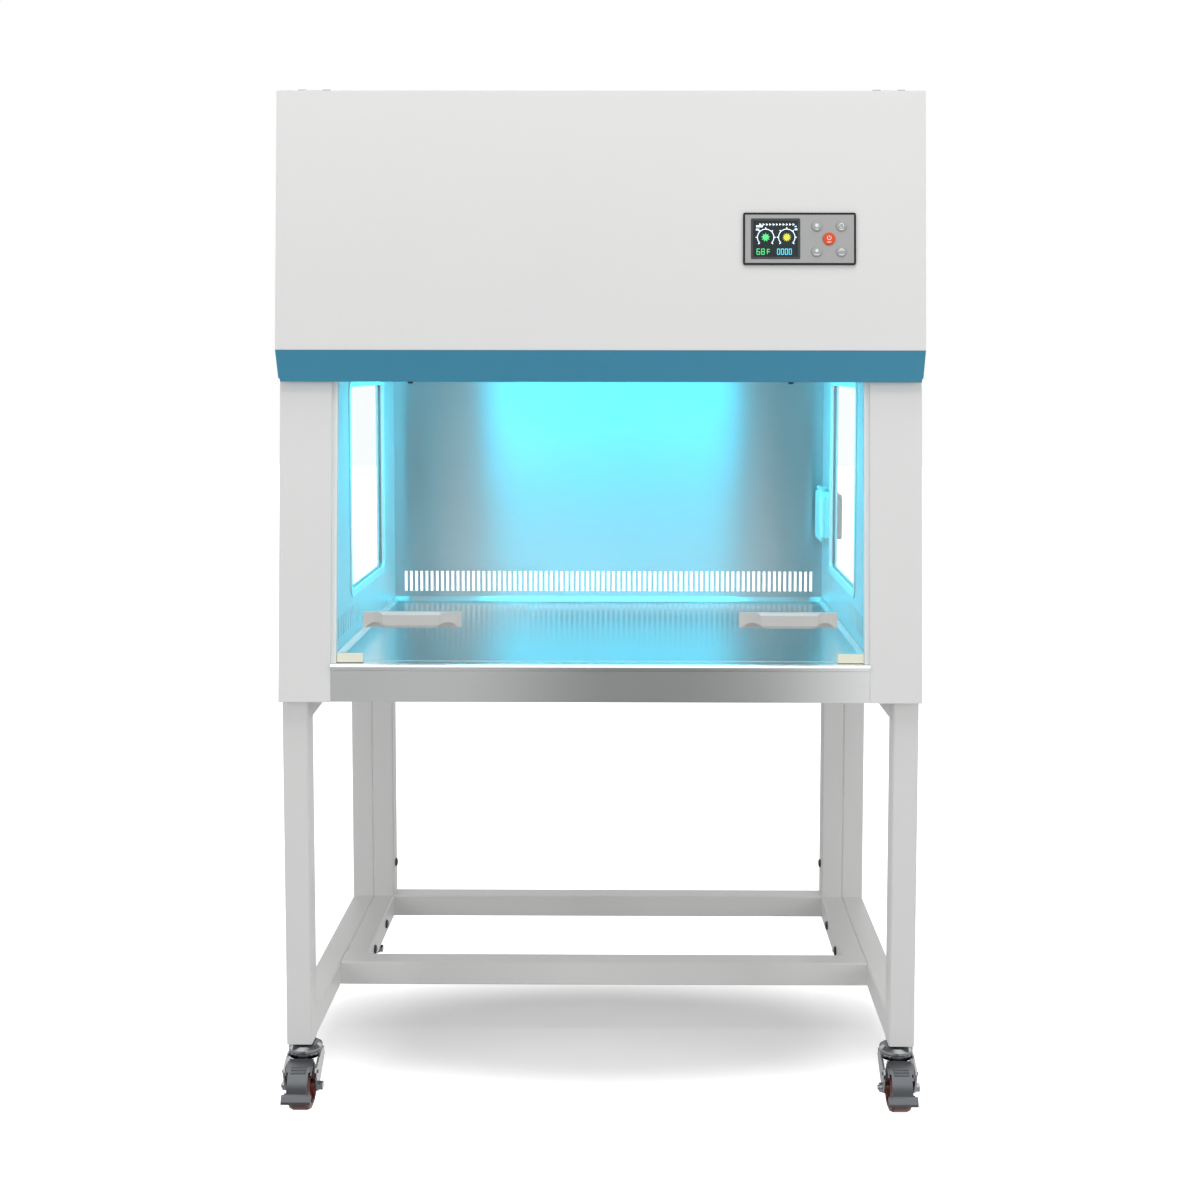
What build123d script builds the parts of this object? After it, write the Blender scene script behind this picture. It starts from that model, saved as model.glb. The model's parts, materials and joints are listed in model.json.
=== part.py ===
from build123d import *
import math
import os

# Vertical laminar flow hood on a castered stand, in millimetres.
# X runs to the right, Y into the depth, Z up. While modelling, y = 0 is the front
# face of the front legs; the finished pieces are centred over the floor at the end.

# stand of square tube
stand_w = 996
stand_d = 608
leg_top = 654
tube = 40
tube_wall = 1.5
tube_corner = 2.2
cross_y = 236
plug_t = 6
gusset_w = 26
gusset_h = 34
gusset_t = 4
frame_bolt_r = 4
frame_bolt_head_r = 8
frame_bolt_head_h = 4
post_bolt_z = (200, 560)
rail_bolt_y = (345, 470)
nut_w = 13
nut_t = 6.5

# swivel casters with a brake pedal
caster_h = 99
caster_inset = 25.5
stem_r = 6
stem_len = 22
collar_r = 11
race_r = 26.5
king_r = 5
run_gap = 0.06
seat_gap = 0.3
wheel_r = 36.5
wheel_w = 35
trail = 28
fork_t = 3
fork_in = 23.5
axle_r = 4
axle_nut_r = 7.5
axle_nut_t = 6.5
pedal_w = 38
pedal_flare = 46
pedal_t = 2.5
pedal_gap = 4.5
pedal_pin_r = 2.5
pedal_pin_y = -40
pedal_pin_z = -34

# cabinet
cab_w = 1000
cab_back = 640
lean = 5
sheet = 1.5
col_front = -17
col_w = 81
col_d = 75
wall_t = 12
floor_z = 714
apron_h = 60
bull_r = 6
cove_h = 9
spill_w = 7
spill_d = 0.8
base_lip = 86
back_y = 622

# work chamber
win_y0 = 170
win_y1 = 487
win_z0 = 801
win_z1 = 1140
win_round = 10
seal_w = 8
seal_lip = 4
seal_lip_t = 2
pane_t = 5
pane_bite = 5
pane_play = 0.2
vent_count = 9
vent_pitch = 20
vent_y0 = 55
vent_z0 = 741
vent_h = 34
vent_w = 4
slot_count = 79
slot_pitch = 10.2
slot_w = 5.2
slot_h = 39
slot_z0 = 733.5

# sliding sash
guide_w = 8
guide_d = 13
guide_inset = 4
guide_top = 1540
sash_t = 5
sash_play = 0.5
sash_side_play = 0.2
sash_top = 1178
guard_w = 41
guard_h = 14
guard_t = 2
handle_w = 153
handle_h = 24
handle_d = 19
handle_x = 292.5
handle_z = 781
handle_lip = 3

# head
head_z0 = 1160
head_z1 = 1599
cover_front = -5
cover_z0 = 1200
cover_d = 25
cover_gap = 1
skirt_z0 = 1151
skirt_back = 21
skirt_lip = 9.5
skirt_cut = 7
rail_back = 28
rail_h = 36
screw_x = 296
screw_r = 2
screw_head_r = 4.6
screw_head_h = 3
screw_len = 10
hinge_x = 447
hinge_len = 50
hinge_r = 3
hinge_pin_r = 1.5
hinge_leaf = 20
hinge_leaf_t = 1.6

# control panel
panel_x = 305.8
panel_z = 1370.7
panel_w = 172.7
panel_h = 80
panel_t = 3
panel_round = 3
panel_depth = 14
panel_rim = 5
lcd_w = 75.2
lcd_h = 62.2
lcd_x = -36.8
lcd_t = 5
key_r = 8
power_r = 9.6
key_dx = 18.9
key_dz = 19.6
keys_x = 45.3
key_play = 0.15
key_proud = 1.8
key_len = 7
key_flange = 1.4

# ceiling, filter and blower
ceiling_z = 1190
ceiling_t = 3
diffuser_y0 = 150
diffuser_slots = 30
diffuser_slot_w = 8
filter_h = 69
filter_wall = 15
filter_inset = 9
pleats = 44
pleat_inset = 6
pleat_t = 2
deck_z = 1330
deck_y0 = 122
tongue = 60
fan_y = 390
fan_z = 1462
scroll_r0 = 98
scroll_grow = 45
scroll_start = -50
scroll_half = 112
inlet_r = 78
rotor_r = 90
rotor_in_r = 74
rotor_half = 99
blade_count = 36
blade_t = 1.6
hub_r = 14
shaft_r = 6
motor_r = 45
motor_in = 10
arm_w = 14
arm_t = 4
intake_w = 520
intake_y0 = 230
intake_y1 = 560
intake_slots = 24
intake_slot_w = 9
grille_t = 2
grille_rim = 18

# lamps, socket outlet and power inlet
lamp_r = 13
lamp_len = 590
lamp_z = 1172
uv_y = 122
led_y = 84
lamp_cap = 12
holder_t = 8
holder_gap = 0.3
outlet_y = 555
outlet_z = 890
outlet_w = 86
outlet_h = 97
outlet_t = 8
outlet_back = 25
outlet_lid_t = 9
outlet_pin_r = 2
outlet_eye_r = 4
outlet_eye_up = 4
inlet_x = 330
inlet_z = 1400
inlet_w = 50
inlet_h = 30
inlet_t = 3
inlet_depth = 20

half = cab_w / 2
slope = math.tan(math.radians(lean))
lean_sin = math.sin(math.radians(lean))
lean_cos = math.cos(math.radians(lean))
leg_x = (stand_w - tube) / 2
inner_w = stand_w - 2 * tube
inner_x = (inner_w - tube) / 2
wall_x = half - col_w
wall_out = wall_x + wall_t
cover_slope_top = cover_front + (head_z1 - cover_z0) * slope
hinge_y = cover_slope_top + cover_d + cover_gap / 2
hinge_z = head_z1 + hinge_r + 0.2
bore_r = axle_r + run_gap


# a box from its six limits
def block(x0, x1, y0, y1, z0, z1):
    return Pos((x0 + x1) / 2, (y0 + y1) / 2, (z0 + z1) / 2) * Box(x1 - x0, y1 - y0, z1 - z0)


# an outline of (y, z) points pulled from x0 to x1
def prism_x(points, x0, x1):
    face = Plane.YZ * make_face(Polyline(*points, close=True))
    return Pos(x0, 0, 0) * extrude(face, x1 - x0)


# an outline of (x, z) points pulled from y0 to y1
def prism_y(points, y0, y1):
    face = Plane.XZ * make_face(Polyline(*points, close=True))
    return Pos(0, y1, 0) * extrude(face, y1 - y0)


# a round bar along X
def bar_x(radius, x0, x1, y, z):
    return Pos((x0 + x1) / 2, y, z) * Rot(0, 90, 0) * Cylinder(radius, x1 - x0)


# a round bar along Z
def bar_z(radius, z0, z1, x, y):
    return Pos(x, y, (z0 + z1) / 2) * Cylinder(radius, z1 - z0)


def flip(shape):
    return mirror(shape, about=Plane.YZ)


# y of the columns' front plane and of the head's front plane at a height
def col_y(z):
    return col_front + (z - leg_top) * slope


def cover_y(z):
    return cover_front + (z - cover_z0) * slope


# a plan section at height z0 pulled up to z1 along the leaning front
def lean_up(points, z0, z1):
    shifted = [(x, y + col_y(z0)) for x, y in points]
    face = Pos(0, 0, z0) * make_face(Polyline(*shifted, close=True))
    return extrude(face, (z1 - z0) / lean_cos, dir=(0, lean_sin, lean_cos))


# square bar with its corners broken, on the Z axis
def square_bar(size, corner, length):
    h = size / 2
    c = h - corner
    face = make_face(Polyline((h, -c), (h, c), (c, h), (-c, h), (-h, c), (-h, -c), (-c, -h), (c, -h), close=True))
    return extrude(face, length)


# the outside of a stand tube, or its hollow
def tube_form(length, hollow):
    if hollow:
        return square_bar(tube - 2 * tube_wall, tube_corner - tube_wall / 2, length)
    return square_bar(tube, tube_corner, length)


def tube_z(x, y, z0, z1, hollow=False):
    return Pos(x, y, z0) * tube_form(z1 - z0, hollow)


def tube_y(x, z, y0, y1, hollow=False):
    return Pos(x, y0, z) * Rot(-90, 0, 0) * tube_form(y1 - y0, hollow)


def tube_x(y, z, x0, x1, hollow=False):
    return Pos(x0, y, z) * Rot(0, 90, 0) * tube_form(x1 - x0, hollow)


# where the two frames are bolted together, as (y, z)
def bolt_points():
    posts = [(stand_d - tube / 2, z) for z in post_bolt_z]
    rails = [(y, caster_h + tube / 2) for y in rail_bolt_y]
    return posts + rails


def caster_spots():
    x = stand_w / 2 - caster_inset
    ys = {"front": tube / 2, "rear": stand_d - tube / 2}
    return [(f"{end}_{side}", s * x, y) for end, y in ys.items() for side, s in (("left", -1), ("right", 1))]


# bolt holes through both walls that meet at the seam of the two frames
def seam_holes(x0, x1):
    holes = [bar_x(frame_bolt_r + 0.1, x0, x1, y, z) for y, z in bolt_points()]
    return Part() + holes


# welded side frame: two plugged legs, a low rail and a gusset at the top of the front leg
def side_frame():
    rail_z = caster_h + tube / 2
    legs = (tube / 2, stand_d - tube / 2)
    frame = tube_y(-leg_x, rail_z, legs[0], legs[1])
    for y in legs:
        frame += tube_z(-leg_x, y, caster_h, leg_top)
    frame -= tube_y(-leg_x, rail_z, tube, stand_d - tube, hollow=True)
    for y in legs:
        frame -= tube_z(-leg_x, y, caster_h + plug_t, leg_top - plug_t, hollow=True)
        frame -= bar_z(stem_r + 0.1, caster_h - 1, caster_h + plug_t + 1, -stand_w / 2 + caster_inset, y)
        frame -= bar_z(frame_bolt_r, leg_top - plug_t - 1, leg_top + 1, -leg_x, y)
    inner = -leg_x + tube / 2
    corner = [(inner, leg_top), (inner + gusset_w, leg_top), (inner, leg_top - gusset_h)]
    frame += prism_y(corner, (tube - gusset_t) / 2, (tube + gusset_t) / 2)
    return frame - seam_holes(inner - tube_wall * 2, inner + 1)


# welded inner frame: two rear posts, two side rails and two cross rails
def inner_frame():
    z = caster_h + tube / 2
    y_front = cross_y + tube / 2
    y_back = stand_d - tube / 2
    frame = tube_x(y_front, z, -inner_w / 2, inner_w / 2) + tube_x(y_back, z, -inner_x, inner_x)
    for x in (-inner_x, inner_x):
        frame += tube_z(x, y_back, caster_h, leg_top)
        frame += tube_y(x, z, y_front, y_back)
    frame -= tube_x(y_front, z, -inner_w / 2 - 1, inner_w / 2 + 1, hollow=True)
    frame -= tube_x(y_back, z, -inner_x + tube / 2, inner_x - tube / 2, hollow=True)
    for x in (-inner_x, inner_x):
        frame -= tube_z(x, y_back, caster_h - 1, leg_top + 1, hollow=True)
        frame -= tube_y(x, z, cross_y + tube, stand_d - tube, hollow=True)
    holes = seam_holes(-inner_w / 2 - 1, -inner_w / 2 + tube + 1)
    return frame - holes - flip(holes)


# button-head bolts from the inside of the inner frame to nuts inside the side frame
def frame_bolts():
    head_x = -inner_w / 2 + tube
    seam_x = -inner_w / 2
    nut = extrude(RegularPolygon(nut_w / 2, 6, major_radius=False), nut_t)
    bolts = []
    for y, z in bolt_points():
        bolt = bar_x(frame_bolt_r, seam_x - tube_wall - nut_t, head_x, y, z)
        head = Pos(head_x, y, z) * Rot(0, 90, 0) * Pos(0, 0, frame_bolt_head_h / 2) * Cylinder(
            frame_bolt_head_r, frame_bolt_head_h)
        head = fillet(head.edges().group_by(Axis.X)[-1], frame_bolt_head_h * 0.8)
        socket = Pos(head_x + frame_bolt_head_h, y, z) * Rot(0, -90, 0) * extrude(
            RegularPolygon(2.5, 6, major_radius=False), 2.5)
        bolt += head - socket
        bolt += Pos(seam_x - tube_wall - nut_t, y, z) * Rot(0, 90, 0) * nut
        bolts.append(bolt)
    return Compound(children=bolts + [flip(b) for b in bolts])


# fixed half of a caster: stem, collar, domed race cover and king pin
def caster_mount():
    profile = [
        (0, stem_len), (stem_r, stem_len), (stem_r, 0), (collar_r, 0), (collar_r, -3),
        (race_r - 6, -4.5), (race_r, -8.5), (race_r, -13), (race_r - 2, -13), (race_r - 2, -9.5),
        (race_r - 8, -7), (king_r, -7), (king_r, -20), (king_r + 3, -20), (king_r + 3, -23), (0, -23)]
    face = Plane.XZ * make_face(Polyline(*profile, close=True))
    return revolve(face, Axis.Z)


# swivelling half: crown with its ball race, two cheeks and the axle bolt
def caster_fork():
    crown = [
        (king_r + run_gap, -7 - seat_gap), (race_r - 9, -7 - seat_gap), (race_r - 7, -14), (race_r, -14),
        (race_r, -22), (race_r - 2.5, -22), (race_r - 2.5, -20 + seat_gap), (king_r + run_gap, -20 + seat_gap)]
    fork = revolve(Plane.XZ * make_face(Polyline(*crown, close=True)), Axis.Z)
    axle_z = wheel_r - caster_h
    cheek_top = -20 + seat_gap
    outline = [
        (14, cheek_top), (18, -30), (-trail + 9, axle_z + 3), (-trail + 7, axle_z - 5.5), (-trail, axle_z - 9),
        (-trail - 7, axle_z - 5.5), (pedal_pin_y - 5, pedal_pin_z - 8), (pedal_pin_y - 6, pedal_pin_z),
        (pedal_pin_y - 2, pedal_pin_z + 6), (-24, cheek_top)]
    for side in (-1, 1):
        x0 = min(side * fork_in, side * (fork_in + fork_t))
        cheek = prism_x(outline, x0, x0 + fork_t)
        cheek -= bar_x(pedal_pin_r + run_gap, x0 - 1, x0 + fork_t + 1, pedal_pin_y, pedal_pin_z)
        cheek -= bar_x(axle_r + 0.1, x0 - 1, x0 + fork_t + 1, -trail, axle_z)
        web = block(x0, x0 + fork_t, -14, 14, -21, -17)
        fork += cheek + web
    out = fork_in + fork_t
    axle = bar_x(axle_r, -out - axle_nut_t, out + axle_nut_t, -trail, axle_z)
    hexagon = extrude(RegularPolygon(axle_nut_r - 1, 6, major_radius=False), axle_nut_t)
    axle += Pos(out, -trail, axle_z) * Rot(0, 90, 0) * hexagon
    axle += bar_x(axle_nut_r, -out - 4, -out, -trail, axle_z)
    return Compound(children=[fork, axle])


# moulded wheel with a rounded tread, a recessed web and a hub
def caster_wheel():
    w = wheel_w / 2
    hub = fork_in - seat_gap
    rim = 7
    profile = [
        (-hub, bore_r), (-hub, 9), (-w + 6, 11), (-w + 6, wheel_r - 12), (-w, wheel_r - 10), (-w, wheel_r - rim),
        (-w + 2, wheel_r - 2), (-w + rim, wheel_r), (w - rim, wheel_r), (w - 2, wheel_r - 2), (w, wheel_r - rim),
        (w, wheel_r - 10), (w - 6, wheel_r - 12), (w - 6, 11), (hub, 9), (hub, bore_r)]
    wheel = revolve(make_face(Polyline(*profile, close=True)), Axis.X)
    return Pos(0, -trail, wheel_r - caster_h) * wheel


# brake pedal: a shield over the wheel, a flared tread tab with grip ribs, ears and pins
def brake_pedal():
    r0 = wheel_r + pedal_gap
    r1 = r0 + pedal_t
    centre = Pos(0, -trail, wheel_r - caster_h)
    ring = Rot(0, 90, 0) * (Cylinder(r1, pedal_w) - Cylinder(r0, pedal_w))
    keep = prism_x([(0, 0), (-1.5, 60), (-60, 60), (-60, 0)], -pedal_w, pedal_w)
    shield = ring & keep
    for side in (-1, 1):
        notch = Pos(side * (pedal_w / 2 + 9), -r1 * 0.85, r1 * 0.5) * Rot(-30, 0, 0) * Cylinder(12, 30)
        shield -= notch
    lip = [(-r1, 6), (-r1 - 4, 4), (-r1 - 8, -3), (-r1 - 8, -7), (-r1 - 6, -7), (-r1 - 2, 0), (-r0, 0)]
    tab = prism_x(lip, -pedal_flare / 2, pedal_flare / 2)
    shield += tab
    for k in range(3):
        angle = math.radians(118 + 6.5 * k)
        rib_y = (r1 + 0.2) * math.cos(angle)
        rib_z = (r1 + 0.2) * math.sin(angle)
        shield += bar_x(1.3, -12, 12, rib_y, rib_z)
    pedal = centre * shield
    ear_z = pedal_pin_z
    for side in (-1, 1):
        e0 = wheel_w / 2 + 1
        ear = [
            (pedal_pin_y + 5, ear_z - 3), (pedal_pin_y + 5, -24), (-33, -21), (-46, -23.5),
            (-58, -33), (pedal_pin_y - 3, ear_z - 5)]
        x0 = min(side * e0, side * (e0 + pedal_t))
        pedal += prism_x(ear, x0, x0 + pedal_t)
        ends = sorted((side * e0, side * (fork_in + fork_t + 2)))
        pedal += bar_x(pedal_pin_r, ends[0], ends[1], pedal_pin_y, pedal_pin_z)
    return pedal - bar_x(wheel_r + 1, -wheel_w / 2 - 0.9, wheel_w / 2 + 0.9, -trail, wheel_r - caster_h)


# shallow folded base, open below, that closes onto the legs and carries the walls
def base_box():
    top = floor_z - sheet
    front = col_y(floor_z) + col_d
    nose = col_y(leg_top) + bull_r + 0.2
    side = wall_x - 0.5
    plan = [
        (-half, front), (-side, front), (-side, nose), (side, nose), (side, front), (half, front),
        (half, cab_back), (-half, cab_back)]
    body = extrude(Pos(0, 0, leg_top) * make_face(Polyline(*plan, close=True)), top - leg_top)
    rear = front + sheet
    inside = [
        (-half + sheet, rear), (-side + sheet, rear), (-side + sheet, nose + sheet), (side - sheet, nose + sheet),
        (side - sheet, rear), (half - sheet, rear), (half - sheet, cab_back - sheet),
        (-half + sheet, cab_back - sheet)]
    hollow = extrude(Pos(0, 0, leg_top + sheet) * make_face(Polyline(*inside, close=True)),
                     top - leg_top - 2 * sheet)
    hole = block(-half + base_lip, half - base_lip, front, stand_d - 2 * tube, leg_top - 1, leg_top + 2 * sheet)
    return body - hollow - hole


# stainless work surface: flat pan with a spill channel behind the sash, coved upstands,
# rounded nose and apron
def work_surface():
    side = wall_x - 0.1
    nose_y = col_y(leg_top) + bull_r
    skin = block(-side, side, nose_y, back_y, floor_z - sheet, floor_z)
    nose = bar_x(bull_r, -side, side, nose_y, floor_z - bull_r) - bar_x(
        bull_r - sheet, -side, side, nose_y, floor_z - bull_r)
    nose -= block(-side, side, nose_y, nose_y + 2 * bull_r, floor_z - 3 * bull_r, floor_z + 1)
    apron_y = col_y(leg_top) + sheet + 1.5
    apron = block(-side, side, apron_y, apron_y + sheet, floor_z - apron_h, floor_z - 2 * bull_r + sheet)
    hem = block(-side, side, apron_y, nose_y, floor_z - 2 * bull_r, floor_z - 2 * bull_r + sheet)
    pan = skin + nose + apron + hem
    spill_y = col_y(floor_z) + guide_inset + guide_d + 1
    start = spill_y + spill_w
    pan -= block(-side, side, spill_y, start, floor_z - spill_d, floor_z)
    leg = cove_h
    rear = back_y
    back_cove = [(rear, floor_z), (rear, floor_z + leg), (rear - sheet, floor_z + leg), (rear - leg * 0.7, floor_z)]
    pan += prism_x(back_cove, -side, side)
    side_cove = [
        (-side, floor_z), (-side, floor_z + leg), (-side + sheet, floor_z + leg), (-side + leg * 0.7, floor_z)]
    strip = prism_y(side_cove, start, rear)
    return pan + strip + flip(strip)


# folded front pillar that leans back, open towards the side wall
def column():
    lip = wall_t
    outer = [(-half, 0), (-wall_x, 0), (-wall_x, lip), (-wall_out, lip), (-wall_out, col_d), (-half, col_d)]
    inner = [
        (-half + sheet, sheet), (-wall_x - sheet, sheet), (-wall_x - sheet, lip + 1), (-wall_out + 1, lip + 1),
        (-wall_out + 1, col_d - sheet), (-half + sheet, col_d - sheet)]
    shell = lean_up(outer, leg_top, head_z0) - lean_up(inner, leg_top + sheet, head_z0)
    foot_y = col_y(leg_top) + lip
    return shell - block(-wall_out - 0.1, -wall_x + 1, foot_y, foot_y + col_d, leg_top, leg_top + 2 * sheet)


def wall_outline(grow):
    z0 = floor_z - sheet - grow
    z1 = deck_z - sheet + grow
    z2 = guide_top + grow
    front = wall_t - grow
    tail = cab_back - 6 + grow
    return [
        (col_y(z0) + front, z0), (col_y(z2) + front, z2), (col_y(z2) + tongue + grow, z2),
        (col_y(z1) + tongue + grow, z1), (tail, z1), (tail, z0)]


def window_face(grow):
    w = win_y1 - win_y0 + 2 * grow
    h = win_z1 - win_z0 + 2 * grow
    face = RectangleRounded(w, h, win_round + grow)
    return Plane.YZ * Pos((win_y0 + win_y1) / 2, (win_z0 + win_z1) / 2) * face


# side wall of one folded sheet: flanged all round and round the window, vented low
def side_wall():
    panel = prism_x(wall_outline(0), -wall_out, -wall_x)
    pocket = prism_x(wall_outline(-sheet), -wall_out - 1, -wall_x - sheet)
    pocket -= Pos(-wall_out - 1, 0, 0) * extrude(window_face(seal_w + sheet), wall_t)
    panel -= pocket
    panel -= Pos(-wall_out - 1, 0, 0) * extrude(window_face(seal_w), wall_t + 2)
    for k in range(vent_count):
        y = vent_y0 + k * vent_pitch
        panel -= block(-wall_out - 1, -wall_x + 1, y - vent_w / 2, y + vent_w / 2, vent_z0, vent_z0 + vent_h)
    return panel


def pane_mid():
    return -wall_x - wall_t / 2


# rubber profile that holds the pane in the window cut-out
def window_seal():
    ring = extrude(window_face(seal_w - 0.1) - window_face(0), wall_t)
    seal = Pos(-wall_out, 0, 0) * ring
    lip = extrude(window_face(seal_w + seal_lip) - window_face(0), seal_lip_t)
    seal += Pos(-wall_x, 0, 0) * lip
    groove = extrude(window_face(pane_bite + pane_play), pane_t + 2 * pane_play)
    return seal - Pos(pane_mid() - pane_t / 2 - pane_play, 0, 0) * groove


def window_glass():
    return Pos(pane_mid() - pane_t / 2, 0, 0) * extrude(window_face(pane_bite), pane_t)


# back wall with the long row of exhaust slots
def back_wall():
    side = wall_x - 0.1
    z0 = floor_z - sheet
    z1 = deck_z - sheet
    depth = cab_back - 6
    wall = block(-side, side, back_y, depth, z0, z1)
    wall -= block(-side + sheet, side - sheet, back_y + sheet, depth + 1, z0 + sheet, z1 - sheet)
    first = -(slot_count - 1) * slot_pitch / 2
    slots = Sketch() + [
        Pos(first + k * slot_pitch, slot_z0 + slot_h / 2) * Rectangle(slot_w, slot_h) for k in range(slot_count)]
    return wall - Pos(0, back_y + 2 * sheet, 0) * extrude(Plane.XZ * slots, 3 * sheet)


# white channel for the sash edge
def sash_guide():
    g0 = guide_inset
    g1 = guide_inset + guide_d
    s0 = g0 + (guide_d - sash_t) / 2 - sash_play
    s1 = g1 - (guide_d - sash_t) / 2 + sash_play
    root = -wall_x + 2
    tip = -wall_x + guide_w
    section = [(-wall_x, g0), (tip, g0), (tip, s0), (root, s0), (root, s1), (tip, s1), (tip, g1), (-wall_x, g1)]
    return lean_up(section, floor_z, guide_top)


# middle of the sash's thickness at a height
def sash_y(z):
    return col_y(z) + guide_inset + guide_d / 2


def sash_plane(x, z):
    return Plane(origin=(x, sash_y(z), z), x_dir=(1, 0, 0), z_dir=(0, -lean_cos, lean_sin))


def sash_bottom():
    return floor_z + seat_gap + guard_t


def sash_glass():
    width = 2 * (wall_x - 2 - sash_side_play)
    height = (sash_top - sash_bottom()) / lean_cos
    pane = Box(width, height, sash_t)
    return sash_plane(0, (sash_top + sash_bottom()) / 2) * pane


# U-shaped guards over the lower corners of the sash
def corner_guards():
    gap = 0.1
    deep = sash_t + 2 * guard_t + 2 * gap
    body = Pos(0, guard_h / 2 - guard_t, 0) * Box(guard_w, guard_h, deep)
    body = fillet(body.edges().filter_by(Axis.X), 1.2)
    body -= Pos(0, guard_h, 0) * Box(guard_w + 1, 2 * guard_h, sash_t + 2 * gap)
    x = wall_x - guide_w - 0.5 - guard_w / 2
    return Compound(children=[sash_plane(s * x, sash_bottom()) * body for s in (-1, 1)])


# finger pull: a bridge bar on a back plate, scooped at both ends and hollow below
def sash_handle(x):
    body = Pos(0, 0, handle_d / 2) * Box(handle_w, handle_h, handle_d)
    body = chamfer(body.edges().group_by(Axis.Z)[-1].filter_by(Axis.X), 4)
    for side in (-1, 1):
        scoop = Pos(side * (handle_w / 2 - 8), -4, handle_d + 18) * Rot(90, 0, 0) * Cylinder(30, handle_h + 20)
        body -= scoop
        dish = Pos(side * handle_w * 0.36, -handle_h / 2 - 12, handle_d * 0.6) * Cylinder(20, handle_d * 2)
        body -= dish & Pos(0, 0, handle_lip + handle_d) * Box(handle_w * 2, handle_h * 2, 2 * handle_d)
    recess = Pos(0, -handle_h / 2 + 7, handle_lip + 5.5) * Box(handle_w * 0.55, 14.5, 11)
    body -= recess
    return sash_plane(x, handle_z) * Pos(0, 0, sash_t / 2) * body


# painted head: sides, top, back and floor from folded sheet, open at the front
def head_shell():
    low = cover_front + skirt_back + skirt_lip + cover_gap
    mid = cover_front + cover_d + cover_gap
    y1 = cover_y(head_z1) + cover_d + cover_gap
    outer = [(low, head_z0), (mid, cover_z0), (y1, head_z1), (cab_back, head_z1), (cab_back, head_z0)]
    inner = [
        (low - 15, head_z0 + sheet), (y1 - 15, head_z1 - sheet), (cab_back - sheet, head_z1 - sheet),
        (cab_back - sheet, head_z0 + sheet)]
    shell = prism_x(outer, -half, half) - prism_x(inner, -half + sheet, half - sheet)
    flange = 14
    for side in (-1, 1):
        x0 = min(side * (half - sheet), side * (half - flange))
        strip = [(mid, cover_z0), (y1, head_z1 - sheet), (y1 + sheet, head_z1 - sheet), (mid + sheet, cover_z0)]
        shell += prism_x(strip, x0, x0 + flange - sheet)
    shell -= block(-wall_out, wall_out, -50, cab_back - 6, head_z0 - 1, head_z0 + 2 * sheet)
    shell -= block(-intake_w / 2, intake_w / 2, intake_y0, intake_y1, head_z1 - 5, head_z1 + 5)
    web = block(-half + sheet, half - sheet, rail_back, rail_back + sheet, head_z0 + sheet, head_z0 + rail_h)
    drop = 4
    side = wall_x - 2
    web += block(-side, side, rail_back, rail_back + sheet, head_z0 - drop, head_z0 + sheet)
    web += block(-side, side, rail_back - skirt_lip, rail_back + sheet, head_z0 - drop - sheet, head_z0 - drop)
    for side in (-1, 1):
        x = side * screw_x
        slot = block(x - screw_r - 1, x + screw_r + 1, 0, screw_y() + screw_r + 1, head_z0 - 10, head_z0 + 5)
        web -= slot
    inlet = block(inlet_x - inlet_w / 2 + 8, inlet_x + inlet_w / 2 - 8, cab_back - 5, cab_back + 5,
                  inlet_z - inlet_h / 2 + 4, inlet_z + inlet_h / 2 - 4)
    return shell + web - inlet


def screw_y():
    return cover_front + skirt_back + skirt_lip / 2


# hinged front cover: a folded tray that leans with the front, with two hinge eyes
def front_cover():
    z1 = head_z1
    outer = [(cover_y(cover_z0), cover_z0), (cover_y(z1), z1), (cover_y(z1) + cover_d, z1),
             (cover_y(cover_z0) + cover_d, cover_z0)]
    inner = [
        (cover_y(cover_z0) + sheet, cover_z0 + sheet), (cover_y(z1) + sheet, z1 - sheet),
        (cover_y(z1) + 2 * cover_d, z1 - sheet), (cover_y(cover_z0) + 2 * cover_d, cover_z0 + sheet)]
    cover = prism_x(outer, -half, half) - prism_x(inner, -half + sheet, half - sheet)
    room = Box(panel_w - 2 * panel_rim + 0.4, panel_h - 2 * panel_rim + 0.4, 20)
    cover -= panel_plane() * room
    eye = hinge_len / 2 - 0.2
    for x in (-hinge_x, hinge_x):
        leaf = block(x - eye / 2, x + eye / 2, hinge_y - hinge_leaf, hinge_y, z1, z1 + hinge_leaf_t)
        ring = bar_x(hinge_r, x - eye / 2, x + eye / 2, hinge_y, hinge_z)
        cover += leaf + ring
        cover -= bar_x(hinge_pin_r + run_gap, x - eye, x + eye, hinge_y, hinge_z)
    return cover


# hinge halves on the head: two outer eyes, a leaf and the pin each
def cover_hinges():
    hinges = []
    quarter = hinge_len / 4
    for x in (-hinge_x, hinge_x):
        hinge = bar_x(hinge_pin_r, x - hinge_len / 2, x + hinge_len / 2, hinge_y, hinge_z)
        for side in (-1, 1):
            x0 = x + side * (hinge_len / 2 - quarter / 2)
            hinge += bar_x(hinge_r, x0 - quarter / 2, x0 + quarter / 2, hinge_y, hinge_z)
            hinge += block(x0 - quarter / 2, x0 + quarter / 2, hinge_y, hinge_y + hinge_leaf, head_z1,
                           head_z1 + hinge_leaf_t)
        hinge += block(x - hinge_len / 2, x + hinge_len / 2, hinge_y + hinge_r + 2, hinge_y + hinge_leaf, head_z1,
                       head_z1 + hinge_leaf_t)
        hinges.append(hinge)
    return Compound(children=hinges)


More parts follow.
